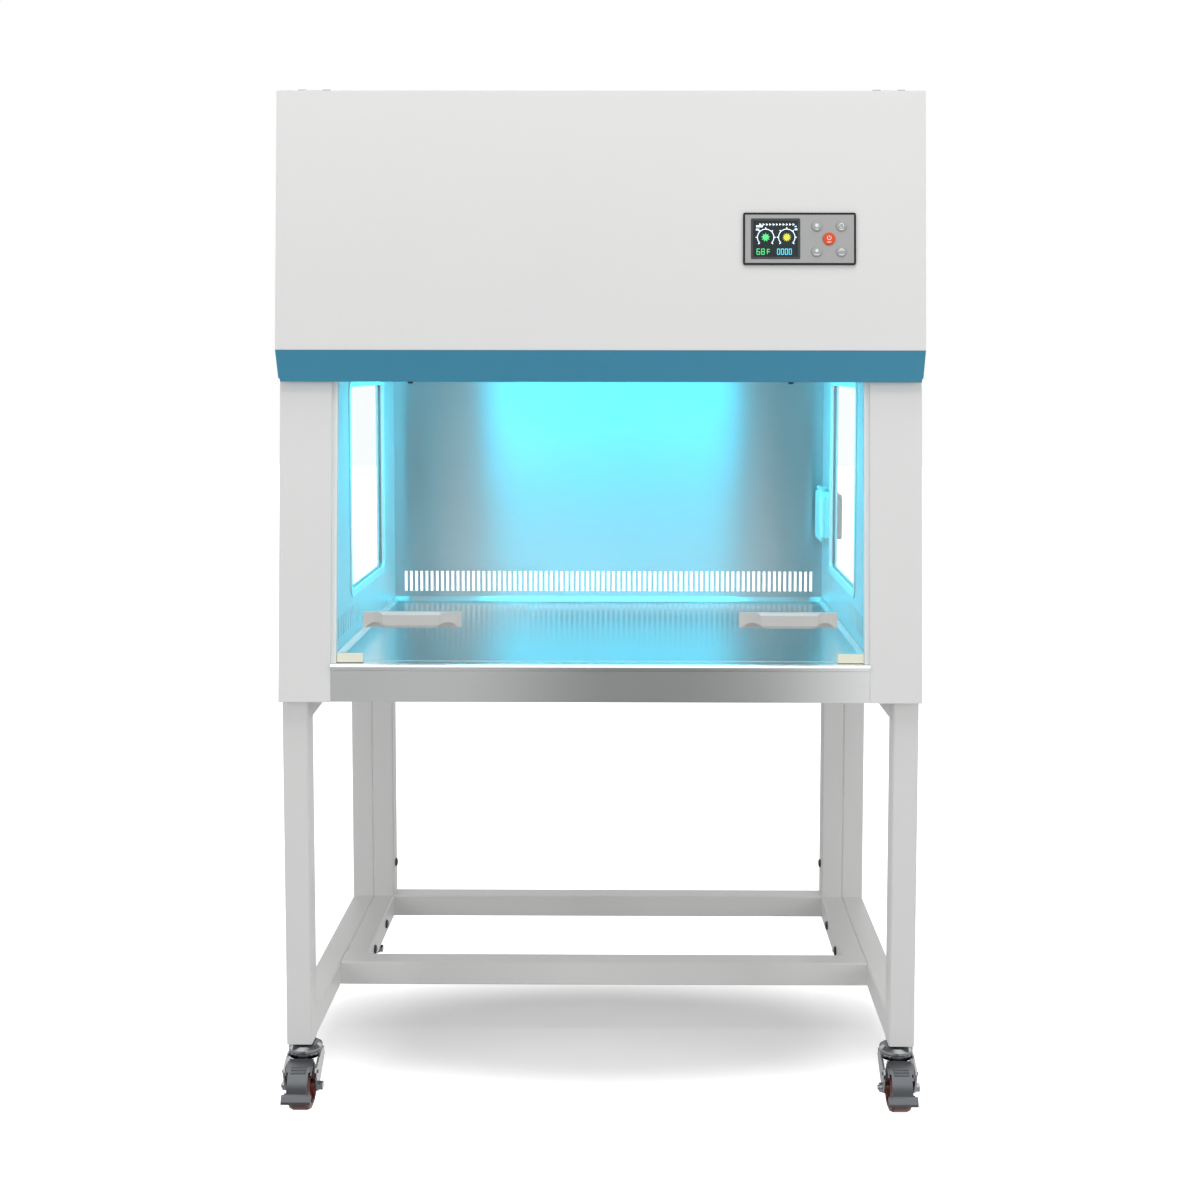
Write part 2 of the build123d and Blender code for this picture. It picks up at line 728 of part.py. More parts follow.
# coloured skirt below the cover, sloping back to the sash, with cut lower corners
def cover_skirt():
    toe = cover_front + skirt_back
    heel = toe + skirt_lip
    z0 = skirt_z0
    outer = [
        (cover_front, cover_z0), (toe, z0), (heel, z0), (heel, z0 + sheet), (toe + sheet, z0 + sheet),
        (cover_front + sheet, cover_z0 - sheet), (cover_front + cover_d, cover_z0 - sheet),
        (cover_front + cover_d, cover_z0)]
    skirt = prism_x(outer, -half, half)
    end = [(cover_front, cover_z0), (toe, z0), (heel, z0), (cover_front + cover_d, cover_z0)]
    skirt += prism_x(end, -half, -half + sheet)
    skirt += prism_x(end, half - sheet, half)
    corner = [(-half - 1, z0 - 1), (-half + skirt_cut, z0 - 1), (-half - 1, z0 + skirt_cut)]
    cut = prism_y(corner, cover_front - 5, cover_front + cover_d + 5)
    skirt -= cut + flip(cut)
    for side in (-1, 1):
        skirt -= bar_z(screw_r + 0.1, z0 - 1, z0 + 2 * sheet, side * screw_x, screw_y())
    return skirt


# two captive screws under the skirt
def cover_screws():
    screws = []
    for side in (-1, 1):
        x = side * screw_x
        head = bar_z(screw_head_r, skirt_z0 - screw_head_h, skirt_z0, x, screw_y())
        head = fillet(head.edges().group_by(Axis.Z)[0], screw_head_h * 0.8)
        screws.append(head + bar_z(screw_r, skirt_z0, skirt_z0 + screw_len, x, screw_y()))
    return Compound(children=screws)


def panel_plane():
    return Plane(origin=(panel_x, cover_y(panel_z), panel_z), x_dir=(1, 0, 0), z_dir=(0, -lean_cos, lean_sin))


def key_spots():
    return {
        "fan_button": (keys_x - key_dx, key_dz, key_r), "light_button": (keys_x + key_dx, key_dz, key_r),
        "uv_button": (keys_x - key_dx, -key_dz, key_r), "socket_button": (keys_x + key_dx, -key_dz, key_r),
        "power_button": (keys_x, 0, power_r)}


# panel housing with a face plate, a display opening and five key holes
def control_panel():
    face = extrude(RectangleRounded(panel_w, panel_h, panel_round), panel_t)
    room_w = panel_w - 2 * panel_rim
    room_h = panel_h - 2 * panel_rim
    body = Pos(0, 0, -panel_depth / 2) * Box(room_w, room_h, panel_depth)
    body -= Pos(0, 0, -panel_depth / 2 + sheet / 2) * Box(room_w - 2 * sheet, room_h - 2 * sheet,
                                                         panel_depth - sheet)
    panel = face + body
    panel -= Pos(lcd_x, 0, 0) * Box(lcd_w, lcd_h, 4 * panel_t)
    for x, y, r in key_spots().values():
        panel -= Pos(x, y, 0) * Cylinder(r + key_play, 4 * panel_t)
    return panel_plane() * panel


def display():
    glass = Pos(lcd_x, 0, panel_t - 0.4 - lcd_t / 2) * Box(lcd_w - 0.2, lcd_h - 0.2, lcd_t)
    module = Pos(lcd_x, 0, -panel_depth / 2 + sheet / 2) * Box(lcd_w - 6, lcd_h - 6, panel_depth - sheet - 0.2)
    return panel_plane() * (glass + module)


# push key with a retaining flange behind the face plate
def key(x, y, r):
    cap = Pos(x, y, panel_t + key_proud - key_len / 2) * Cylinder(r, key_len)
    cap = fillet(cap.edges().group_by(Axis.Z)[-1], 1)
    flange = Pos(x, y, -seat_gap - key_flange / 2) * Cylinder(r + 1.2, key_flange)
    return panel_plane() * (cap + flange)


# ceiling plate with rows of outlet slots and a plain front strip for the lamps
def diffuser():
    side = wall_x - 0.1
    y0 = col_y(ceiling_z) + guide_inset + guide_d + 8
    plate = block(-side, side, y0, back_y, ceiling_z, ceiling_z + ceiling_t)
    rows = 2
    span = (back_y - diffuser_y0) / rows
    pitch = 2 * (side - 30) / diffuser_slots
    for row in range(rows):
        for k in range(diffuser_slots):
            x = -side + 30 + (k + 0.5) * pitch
            ya = diffuser_y0 + row * span + 20
            plate -= block(x - diffuser_slot_w / 2, x + diffuser_slot_w / 2, ya, ya + span - 40,
                           ceiling_z - 1, ceiling_z + 2 * ceiling_t)
    return plate


# filter cell: aluminium frame and pleated media
def filter_frame():
    side = wall_x - filter_inset
    z0 = ceiling_z + ceiling_t
    y0 = diffuser_y0
    y1 = back_y - filter_inset
    frame = block(-side, side, y0, y1, z0, z0 + filter_h)
    w = filter_wall
    return frame - block(-side + w, side - w, y0 + w, y1 - w, z0 - 1, z0 + filter_h + 1)


def filter_media():
    side = wall_x - filter_inset - filter_wall - 0.1
    z0 = ceiling_z + ceiling_t + pleat_inset
    z1 = ceiling_z + ceiling_t + filter_h - pleat_inset
    step = side / pleats
    low = [(-side + k * step, z0 if k % 2 == 0 else z1 - pleat_t * 2) for k in range(2 * pleats + 1)]
    high = [(x, z + pleat_t * 2) for x, z in reversed(low)]
    y0 = diffuser_y0 + filter_wall + 0.1
    return prism_y(low + high, y0, back_y - filter_inset - filter_wall - 0.1)


# shelf that carries the blower, with a front baffle down to the filter
def blower_deck():
    z0 = deck_z - sheet
    side = half - sheet
    deck = block(-side, side, deck_y0, cab_back - sheet, z0, deck_z)
    baffle_z = ceiling_z + ceiling_t + filter_h
    inner = wall_x - 0.1
    deck += block(-inner, inner, diffuser_y0, diffuser_y0 + sheet, baffle_z, z0)
    y0, y1 = outlet_span()
    return deck - block(-scroll_half + 4, scroll_half - 4, y0, y1, z0 - 1, deck_z + 1)


# a point of the spiral housing wall, which widens steadily from the cut-off to the outlet
def scroll_at(degrees, grow=0):
    turned = scroll_start - degrees
    r = scroll_r0 + grow + scroll_grow * turned / (360 + scroll_start)
    a = math.radians(degrees)
    return (fan_y + r * math.cos(a), fan_z + r * math.sin(a))


def outlet_span():
    return (scroll_at(scroll_start)[0], scroll_at(-360)[0])


# spiral outline of the blower housing, closed by its downward outlet
def scroll_face(grow):
    steps = 16
    span = 360 + scroll_start
    points = [scroll_at(scroll_start - span * k / steps, grow) for k in range(steps + 1)]
    y0 = points[0][0] - grow
    y1 = points[-1][0]
    foot = [points[-1], (y1, deck_z), (y0, deck_z), points[0]]
    return Plane.YZ * make_face(Spline(*points) + Polyline(*foot))


# sheet scroll housing with an inlet ring on both sides and a bottom flange
def blower_housing():
    h = scroll_half
    y0, y1 = outlet_span()
    body = Pos(-h, 0, 0) * extrude(scroll_face(sheet), 2 * h)
    body -= Pos(-h + sheet, 0, 0) * extrude(scroll_face(0), 2 * h - 2 * sheet)
    body -= block(-h - 1, h + 1, y0 - 20, y1 + 20, deck_z - 10, deck_z)
    body -= block(-h + sheet, h - sheet, y0, y1, deck_z - 1, deck_z + 3 * sheet)
    body -= bar_x(inlet_r, -h - 1, h + 1, fan_y, fan_z)
    for side in (-1, 1):
        x0, x1 = sorted((side * (h - sheet), side * (h - 9)))
        body += bar_x(inlet_r + sheet, x0, x1, fan_y, fan_z) - bar_x(inlet_r, x0, x1, fan_y, fan_z)
    foot = block(-h - 14, h + 14, y0 - 14, y1 + 14, deck_z, deck_z + sheet)
    foot -= block(-h, h, y0 - sheet, y1 + sheet, deck_z, deck_z + sheet)
    return body + foot


# forward-curved impeller: blades between two rings, centre disc, hub and shaft
def blower_rotor():
    blade_r = (rotor_r - rotor_in_r) * 0.75
    a = (rotor_in_r + 0.5, 0)
    b = (rotor_r - 0.5, 6)
    outer_arc = RadiusArc(a, b, blade_r)
    inner_arc = RadiusArc((b[0] - 0.4, b[1] - blade_t), (a[0], a[1] - blade_t), -blade_r - blade_t)
    profile = make_face([
        outer_arc, Line(b, (b[0] - 0.4, b[1] - blade_t)), inner_arc, Line((a[0], a[1] - blade_t), a)])
    blades = Sketch() + [Rot(0, 0, 360 * k / blade_count) * profile for k in range(blade_count)]
    rotor = Pos(0, 0, -rotor_half) * extrude(blades, 2 * rotor_half)
    ring = Cylinder(rotor_r, 4) - Cylinder(rotor_in_r, 4)
    rotor += Pos(0, 0, rotor_half - 2) * ring + Pos(0, 0, 2 - rotor_half) * ring
    rotor += Cylinder(rotor_r - 1, 3)
    rotor += Pos(0, 0, 8) * Cylinder(hub_r, 22)
    rotor += Pos(0, 0, -30) * Cylinder(shaft_r, 80)
    return Pos(0, fan_y, fan_z) * Rot(0, 90, 0) * rotor


# motor inside the impeller on a three-armed spider
def blower_motor():
    x1 = -motor_in
    x0 = -scroll_half
    body = bar_x(motor_r, x0, x1, fan_y, fan_z)
    body -= bar_x(shaft_r + run_gap, x1 - 65, x1 + 1, fan_y, fan_z)
    reach = inlet_r + 10
    for k in range(3):
        arm = Pos(x0 - arm_t / 2, fan_y, fan_z) * Rot(90 + 120 * k, 0, 0) * Pos(0, reach / 2, 0) * Box(
            arm_t, reach, arm_w)
        body += arm
    return body + bar_x(motor_r * 0.6, x0 - arm_t - 4, x0, fan_y, fan_z)


# slotted grille over the air intake in the top
def intake_grille():
    w = intake_w / 2 + grille_rim
    y0 = intake_y0 - grille_rim
    y1 = intake_y1 + grille_rim
    plate = block(-w, w, y0, y1, head_z1, head_z1 + grille_t)
    pitch = intake_w / intake_slots
    for k in range(intake_slots):
        x = -intake_w / 2 + (k + 0.5) * pitch
        plate -= block(x - intake_slot_w / 2, x + intake_slot_w / 2, intake_y0 + 8, intake_y1 - 8,
                       head_z1 - 1, head_z1 + 2 * grille_t)
    return plate


# straight lamp with a metal cap and two pins at each end
def lamp_tube(y):
    glass_half = lamp_len / 2
    tube_body = bar_x(lamp_r, -glass_half, glass_half, y, lamp_z)
    for side in (-1, 1):
        x0, x1 = sorted((side * (glass_half - lamp_cap), side * glass_half))
        tube_body += bar_x(lamp_r + 0.4, x0, x1, y, lamp_z)
        for dz in (-6, 6):
            p0, p1 = sorted((side * glass_half, side * (glass_half + 6)))
            tube_body += bar_x(1.2, p0, p1, y, lamp_z + dz)
    return tube_body


# end holders that hang from the ceiling and take the lamp pins
def lamp_holders():
    holders = []
    for y in (uv_y, led_y):
        for side in (-1, 1):
            x0, x1 = sorted((side * (lamp_len / 2 + holder_gap), side * (lamp_len / 2 + holder_gap + holder_t)))
            holder = block(x0, x1, y - lamp_r, y + lamp_r, lamp_z - lamp_r, ceiling_z)
            for dz in (-6, 6):
                holder -= bar_x(1.4, x0 - 1, x1 + 1, y, lamp_z + dz)
            holders.append(holder)
    return Compound(children=holders)


def outlet_outline(grow):
    w = outlet_w / 2 + grow
    h = outlet_h / 2 + grow
    c = 10 + grow * 0.5
    corners = [(-w, -h + c), (-w, h - c), (-w + c, h), (w - c, h), (w, h - c), (w, -h + c), (w - c, -h), (-w + c, -h)]
    return [(outlet_y + y, outlet_z + z) for y, z in corners]


# socket outlet set in the right wall: face frame inside, wiring box outside
def outlet_box():
    frame = prism_x(outlet_outline(0), wall_x - outlet_t, wall_x)
    frame -= prism_x(outlet_outline(-8), wall_x - outlet_t - 1, wall_x - 3)
    for dy, dz in ((0, 12), (-9, -8), (9, -8)):
        frame -= block(wall_x - 4, wall_x + 1, outlet_y + dy - 3, outlet_y + dy + 3, outlet_z + dz - 1.5,
                       outlet_z + dz + 1.5)
    frame += prism_x(outlet_outline(-6), wall_out, wall_x + outlet_back)
    for z in (-1, 1):
        neck_z = outlet_z + z * (outlet_h / 2 - 16)
        frame += block(wall_x, wall_out, outlet_y - 4, outlet_y + 4, neck_z - 4, neck_z + 4)
    eye = outlet_z + outlet_h / 2 + outlet_eye_up
    frame += outlet_axis(outlet_y, outlet_eye_r - 1, 20)
    frame += block(wall_x - outlet_t, wall_x, outlet_y - 10, outlet_y + 10, outlet_z + outlet_h / 2 - 2, eye + 2)
    frame += block(wall_x - outlet_t - outlet_eye_r, wall_x, outlet_y - 10, outlet_y + 10, eye - 2, eye + 2)
    return frame + outlet_axis(outlet_y, outlet_pin_r, 56)


# a round bar along the lid's hinge line
def outlet_axis(y, radius, length):
    eye = outlet_z + outlet_h / 2 + outlet_eye_up
    return Pos(wall_x - outlet_t - outlet_eye_r, y, eye) * Rot(90, 0, 0) * Cylinder(radius, length)


# hinged splash lid of the outlet
def outlet_cover():
    x1 = wall_x - outlet_t - seat_gap
    x0 = x1 - outlet_lid_t
    lid = prism_x(outlet_outline(-1), x0, x1)
    lid = chamfer(lid.faces().sort_by(Axis.X)[0].edges(), 4)
    lid -= prism_x(outlet_outline(-7), x0 + 2, x1 + 1)
    for side in (-1, 1):
        y = outlet_y + side * 20
        lid += outlet_axis(y, outlet_eye_r, 16)
        lid += block(x0 + 3, x1, y - 8, y + 8, outlet_z + outlet_h / 2 - 4,
                     outlet_z + outlet_h / 2 + outlet_eye_up)
        lid -= outlet_axis(y, outlet_pin_r + run_gap, 17)
    return lid


# appliance inlet in the back of the head
def power_inlet():
    y = cab_back
    body = block(inlet_x - inlet_w / 2, inlet_x + inlet_w / 2, y, y + inlet_t,
                 inlet_z - inlet_h / 2, inlet_z + inlet_h / 2)
    w = inlet_w / 2 - 9
    h = inlet_h / 2 - 5
    body += block(inlet_x - w, inlet_x + w, y - inlet_depth, y, inlet_z - h, inlet_z + h)
    body -= block(inlet_x - w + 2, inlet_x + w - 2, y - inlet_depth + 3, y + inlet_t + 1,
                  inlet_z - h + 2, inlet_z + h - 2)
    for dx, dz in ((-6, -2), (0, 2), (6, -2)):
        body += block(inlet_x + dx - 1, inlet_x + dx + 1, y - inlet_depth + 2, y - 3,
                      inlet_z + dz - 2, inlet_z + dz + 2)
    return body


def build():
    parts = {
        "side_frame_left": side_frame(), "side_frame_right": flip(side_frame()),
        "inner_frame": inner_frame(), "frame_bolts": frame_bolts(),
        "base_box": base_box(), "work_surface": work_surface(),
        "column_left": column(), "column_right": flip(column()),
        "side_wall_left": side_wall(), "window_seal_left": window_seal(),
        "window_seal_right": flip(window_seal()),
        "window_glass_left": window_glass(), "window_glass_right": flip(window_glass()),
        "back_wall": back_wall(),
        "sash_guide_left": sash_guide(), "sash_guide_right": flip(sash_guide()),
        "sash_glass": sash_glass(), "sash_corner_guards": corner_guards(),
        "sash_handle_left": sash_handle(-handle_x), "sash_handle_right": sash_handle(handle_x),
        "head_shell": head_shell(), "front_cover": front_cover(), "cover_skirt": cover_skirt(),
        "cover_hinges": cover_hinges(), "cover_screws": cover_screws(),
        "control_panel": control_panel(), "display": display(),
        "blower_deck": blower_deck(), "blower_housing": blower_housing(), "blower_rotor": blower_rotor(),
        "blower_motor": blower_motor(), "filter_frame": filter_frame(), "filter_media": filter_media(),
        "diffuser": diffuser(), "intake_grille": intake_grille(),
        "uv_tube": lamp_tube(uv_y), "led_tube": lamp_tube(led_y), "lamp_holders": lamp_holders(),
        "outlet_box": outlet_box(), "outlet_cover": outlet_cover(), "power_inlet": power_inlet()}
    right = flip(side_wall())
    for z in (-1, 1):
        neck_z = outlet_z + z * (outlet_h / 2 - 16)
        right -= block(wall_x - 1, wall_out + 1, outlet_y - 4.1, outlet_y + 4.1, neck_z - 4.1, neck_z + 4.1)
    parts["side_wall_right"] = right
    for name, (x, y, r) in key_spots().items():
        parts[name] = key(x, y, r)
    mounts = []
    fork = caster_fork()
    wheel = caster_wheel()
    pedal = brake_pedal()
    for name, x, y in caster_spots():
        spot = Pos(x, y, caster_h)
        mounts.append(spot * caster_mount())
        parts["caster_fork_" + name] = spot * fork
        parts["caster_wheel_" + name] = spot * wheel
        parts["brake_pedal_" + name] = spot * pedal
    parts["caster_mounts"] = Compound(children=mounts)
    return parts


def main():
    os.makedirs("parts", exist_ok=True)
    parts = build()
    boxes = [shape.bounding_box() for shape in parts.values()]
    middle = (min(b.min.Y for b in boxes) + max(b.max.Y for b in boxes)) / 2
    for name, shape in parts.items():
        export_step(Pos(0, -middle, 0) * shape, f"parts/{name}.step")
    print(len(parts), "pieces, depth centre at", round(middle, 3))


main()
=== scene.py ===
import json
import math

import bmesh
import bpy
from mathutils import Matrix, Vector


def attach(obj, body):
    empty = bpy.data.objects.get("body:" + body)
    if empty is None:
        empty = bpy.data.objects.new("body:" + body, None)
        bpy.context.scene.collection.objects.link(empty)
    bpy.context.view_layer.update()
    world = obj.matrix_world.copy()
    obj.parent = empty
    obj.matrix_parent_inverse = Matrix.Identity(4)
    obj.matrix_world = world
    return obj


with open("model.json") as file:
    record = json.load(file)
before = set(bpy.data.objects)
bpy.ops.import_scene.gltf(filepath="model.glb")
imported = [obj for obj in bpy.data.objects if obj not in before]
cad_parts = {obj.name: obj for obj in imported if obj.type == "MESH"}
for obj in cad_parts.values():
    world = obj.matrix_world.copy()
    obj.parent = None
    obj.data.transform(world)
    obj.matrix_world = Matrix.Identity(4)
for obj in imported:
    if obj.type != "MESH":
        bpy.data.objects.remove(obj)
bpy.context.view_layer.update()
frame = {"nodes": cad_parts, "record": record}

nodes = frame["nodes"]
scene = bpy.context.scene
scene.view_settings.view_transform = "Standard"
mm = 0.001
perMetre = 1000  # a size in mm to a texture scale
white = (1, 1, 1, 1)
depthShift = -291.75  # modelling depth (mm behind the front legs) to the frame's Y
print("frame loaded:", len(nodes), "nodes")


def toLinear(hexCode):  # sRGB hex to linear rgba
    out = []
    for k in (0, 2, 4):
        c = int(hexCode[k:k + 2], 16) / 255
        out.append(c / 12.92 if c <= 0.04045 else ((c + 0.055) / 1.055) ** 2.4)
    return (*out, 1.0)


def darker(rgba, share):
    return tuple(c * (1 - share) for c in rgba[:3]) + (1,)


def addNode(tree, kind, settings=None, links=None):
    # settings go to the node or to its sockets by name, links are {socket: (node, output)}
    node = tree.nodes.new(kind)
    for key, value in (settings or {}).items():
        if isinstance(key, str) and hasattr(node, key):
            setattr(node, key, value)
        else:
            node.inputs[key].default_value = value
    for key, (source, output) in (links or {}).items():
        tree.links.new(source.outputs[output], node.inputs[key])
    return node


def newMaterial(name):
    material = bpy.data.materials.new(name)
    material.use_nodes = True
    material.node_tree.nodes.clear()
    return material, material.node_tree


def finishMaterial(tree, shader):
    addNode(tree, "ShaderNodeOutputMaterial", links={"Surface": (shader, 0)})


def addNoise(tree, vector, scale, detail, roughness=0.5):
    return addNode(tree, "ShaderNodeTexNoise", {"Scale": scale, "Detail": detail, "Roughness": roughness},
                   {"Vector": vector})


def addTint(tree, share, low, high):
    tint = addNode(tree, "ShaderNodeMix", {"data_type": "RGBA"}, {0: (share, 0)})
    tint.inputs[6].default_value = low
    tint.inputs[7].default_value = high
    return tint


def addEdge(tree, edgeMm):  # rounds folded and moulded edges in the shading
    return addNode(tree, "ShaderNodeBevel", {"samples": 4, "Radius": edgeMm * mm})


# per kind of surface: noise scales and details, roughness below and above the look's own, relief height
coat = {"peelDetail": 2.0, "cloudDetail": 3.0, "smoother": 0.04, "duller": 0.05, "relief": 0.02, "ior": 1.5}
brush = {"detail": 4.0, "roughness": 0.65, "cloudScale": 9.0, "cloudDetail": 3.0, "cloudFrom": 0.3, "cloudTo": 0.7,
         "smoother": 0.01, "duller": 0.015, "reliefMm": 0.03}
mould = {"sparkMm": 0.6, "sparkDetail": 2.0, "cloudScale": 25.0, "cloudDetail": 3.0, "spread": 0.05, "smoothest": 0.02,
         "reliefMm": 0.02, "ior": 1.46}
mouldLook = {"cloud": 0.06, "edgeMm": 0.6, "bump": 0.15, "metallic": 0.0, "glow": "000000", "glowStrength": 0.0}
pane = {"rough": 0.02, "ior": 1.45}


def paintedMetal(name, hexCode, look):
    # powder coat: even pigment, very fine orange peel, folded edges rounded by the bevel node
    material, tree = newMaterial(name)
    place = addNode(tree, "ShaderNodeTexCoord")
    peel = addNoise(tree, (place, "Object"), perMetre / look["peelMm"], coat["peelDetail"])
    cloud = addNoise(tree, (place, "Object"), perMetre / look["cloudMm"], coat["cloudDetail"])
    base = toLinear(hexCode)
    pigment = addTint(tree, cloud, darker(base, look["cloud"]), base)
    gloss = addNode(tree, "ShaderNodeMapRange", {"To Min": look["rough"] - coat["smoother"],
                                                 "To Max": look["rough"] + coat["duller"]}, {"Value": (cloud, 0)})
    edge = addEdge(tree, look["edgeMm"])
    bump = addNode(tree, "ShaderNodeBump", {"Strength": look["bump"], "Distance": look["peelMm"] * coat["relief"] * mm},
                   {"Height": (peel, 0), "Normal": (edge, 0)})
    paint = addNode(tree, "ShaderNodeBsdfPrincipled", {"IOR": coat["ior"]},
                    {"Base Color": (pigment, 2), "Roughness": (gloss, 0), "Normal": (bump, 0)})
    finishMaterial(tree, paint)
    return material


def brushedMetal(name, hexCode, look):
    # sheet metal brushed along one axis: long thin scratches, stretched highlights
    material, tree = newMaterial(name)
    place = addNode(tree, "ShaderNodeTexCoord")
    along, across = perMetre / look["streakMm"], perMetre / look["gritMm"]
    stretch = {"x": (along, across, across), "y": (across, along, across)}[look["grain"]]
    mapping = addNode(tree, "ShaderNodeMapping", {"Scale": stretch}, {"Vector": (place, "Object")})
    scratch = addNoise(tree, (mapping, 0), 1.0, brush["detail"], brush["roughness"])
    cloud = addNoise(tree, (place, "Object"), brush["cloudScale"], brush["cloudDetail"])
    base = toLinear(hexCode)
    tint = addTint(tree, scratch, darker(base, look["contrast"]), base)
    gloss = addNode(tree, "ShaderNodeMapRange", {"From Min": brush["cloudFrom"], "From Max": brush["cloudTo"],
                                                 "To Min": look["rough"] - brush["smoother"],
                                                 "To Max": look["rough"] + brush["duller"]}, {"Value": (cloud, 0)})
    bump = addNode(tree, "ShaderNodeBump", {"Strength": look["bump"], "Distance": brush["reliefMm"] * mm},
                   {"Height": (scratch, 0)})
    if look.get("edgeMm"):
        edge = addEdge(tree, look["edgeMm"])
        tree.links.new(edge.outputs[0], bump.inputs["Normal"])
    direction = {"x": (0, 1, 1), "y": (1, 0, 1)}[look["grain"]]  # highlights stretch across the grain
    tangent = addNode(tree, "ShaderNodeCombineXYZ", dict(zip("XYZ", direction)))
    steel = addNode(tree, "ShaderNodeBsdfPrincipled", {"Metallic": look["metal"], "Anisotropic": look["aniso"]},
                    {"Base Color": (tint, 2), "Roughness": (gloss, 0), "Normal": (bump, 0), "Tangent": (tangent, 0)})
    finishMaterial(tree, steel)
    return material


def plainPlastic(name, hexCode, look):
    # moulded plastic, rubber or plain metal: fine spark texture, soft edges, a little dirt in the pigment
    look = {**mouldLook, **look}
    material, tree = newMaterial(name)
    place = addNode(tree, "ShaderNodeTexCoord")
    spark = addNoise(tree, (place, "Object"), perMetre / mould["sparkMm"], mould["sparkDetail"])
    cloud = addNoise(tree, (place, "Object"), mould["cloudScale"], mould["cloudDetail"])
    base = toLinear(hexCode)
    tint = addTint(tree, cloud, darker(base, look["cloud"]), base)
    rough = look["rough"]
    gloss = addNode(tree, "ShaderNodeMapRange", {"To Min": max(rough - mould["spread"], mould["smoothest"]),
                                                 "To Max": rough + mould["spread"]}, {"Value": (cloud, 0)})
    edge = addEdge(tree, look["edgeMm"])
    bump = addNode(tree, "ShaderNodeBump", {"Strength": look["bump"], "Distance": mould["reliefMm"] * mm},
                   {"Height": (spark, 0), "Normal": (edge, 0)})
    plastic = addNode(tree, "ShaderNodeBsdfPrincipled",
                      {"IOR": mould["ior"], "Metallic": look["metallic"], "Emission Color": toLinear(look["glow"]),
                       "Emission Strength": look["glowStrength"]},
                      {"Base Color": (tint, 2), "Roughness": (gloss, 0), "Normal": (bump, 0)})
    finishMaterial(tree, plastic)
    return material


def clearGlass(name, hexCode, strength):
    # float glass: clear pane with a sharp surface reflection that grows towards grazing angles
    material, tree = newMaterial(name)
    through = addNode(tree, "ShaderNodeBsdfTransparent", {"Color": toLinear(hexCode)})
    shine = addNode(tree, "ShaderNodeBsdfAnisotropic", {"Color": white, "Roughness": pane["rough"]})
    grazing = addNode(tree, "ShaderNodeFresnel", {"IOR": pane["ior"]})
    share = addNode(tree, "ShaderNodeMath", {"operation": "MULTIPLY", 1: strength}, {0: (grazing, 0)})
    mix = addNode(tree, "ShaderNodeMixShader", links={0: (share, 0), 1: (through, 0), 2: (shine, 0)})
    finishMaterial(tree, mix)
    return material


paintLook = {"peelMm": 0.9, "cloudMm": 260, "cloud": 0.02, "rough": 0.42, "bump": 0.12, "edgeMm": 1.4}
steelLook = {"streakMm": 90, "gritMm": 0.7, "contrast": 0.1, "rough": 0.4, "bump": 0.02, "aniso": 0.96, "grain": "x",
             "metal": 1.0}
sideLook = {**steelLook, "grain": "y", "rough": 0.45, "aniso": 0.4, "metal": 0.45}
panLook = {**steelLook, "rough": 0.22, "aniso": 0.7, "contrast": 0.14, "edgeMm": 0.4}
zincLook = {"rough": 0.18, "metallic": 1.0, "edgeMm": 0.7, "cloud": 0.25}
pedalLook = {"rough": 0.32, "metallic": 0.9, "edgeMm": 1.0, "cloud": 0.15}
uvLook = {"rough": 0.2, "glow": "30d0ff", "glowStrength": 3.0}
ledLook = {"rough": 0.3, "glow": "7deaff", "glowStrength": 1.2}
